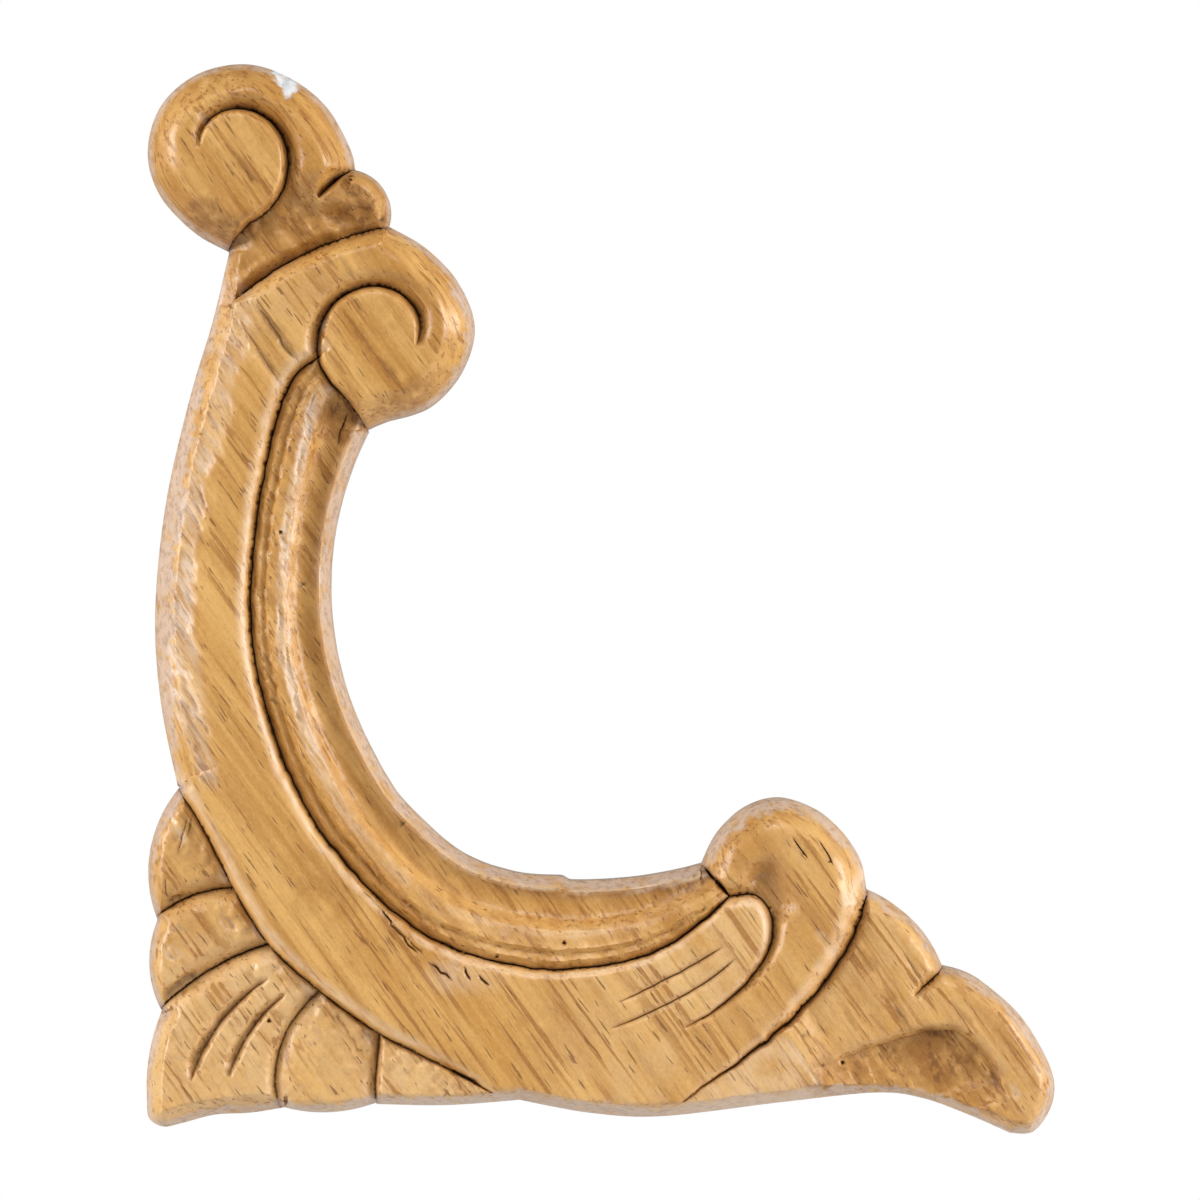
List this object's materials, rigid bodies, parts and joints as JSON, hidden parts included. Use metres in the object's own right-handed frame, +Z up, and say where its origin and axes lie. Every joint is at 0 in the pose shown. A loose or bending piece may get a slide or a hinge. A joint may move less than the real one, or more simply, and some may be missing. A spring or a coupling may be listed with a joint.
{
  "type": "wooden corner onlay",
  "caption": "Flat-backed carved wooden corner onlay: volutes, a scrolled band around a hollow moulding, leaf lobes at the corner and a curled tail, fixed by its back.",
  "frame": {"origin": "the fixing point on the flat back, 22 mm right of and above the outer corner of the leaf", "axes": "+Y out of the flat back into what carries it, +Z up the longer arm, +X along the shorter arm, seen from the carved front"},
  "size_m": [0.1017, 0.01, 0.1199],
  "materials": {
    "wood": "satin varnish"
  },
  "bodies": {
    "root": {"corner_onlay": "wood"}
  },
  "joints": []
}
